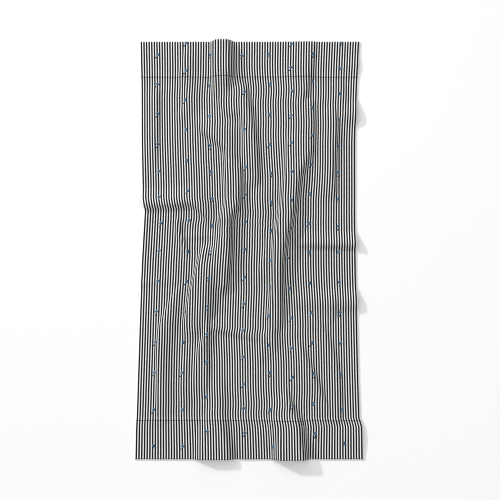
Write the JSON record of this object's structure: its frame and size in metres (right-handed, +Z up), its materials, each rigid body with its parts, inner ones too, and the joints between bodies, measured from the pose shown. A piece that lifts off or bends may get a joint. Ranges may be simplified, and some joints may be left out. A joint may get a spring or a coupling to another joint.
{
  "type": "beach towel",
  "caption": "Long striped beach towel with wide hems at both ends, laid out flat with the soft folds and creases of loose cloth.",
  "frame": {"origin": "on the surface the towel lies on, below the middle of the towel's outline", "axes": "+Z up out of the towel's face, +Y along the towel towards the end that one narrow fold crosses, away from the end with two broad folds, +X across the towel"},
  "size_m": [0.907, 1.6862, 0.0348],
  "materials": {
    "towel": "matt woven cotton with fine dark and pale stripes"
  },
  "bodies": {
    "root": {"towel": "towel"}
  },
  "joints": []
}
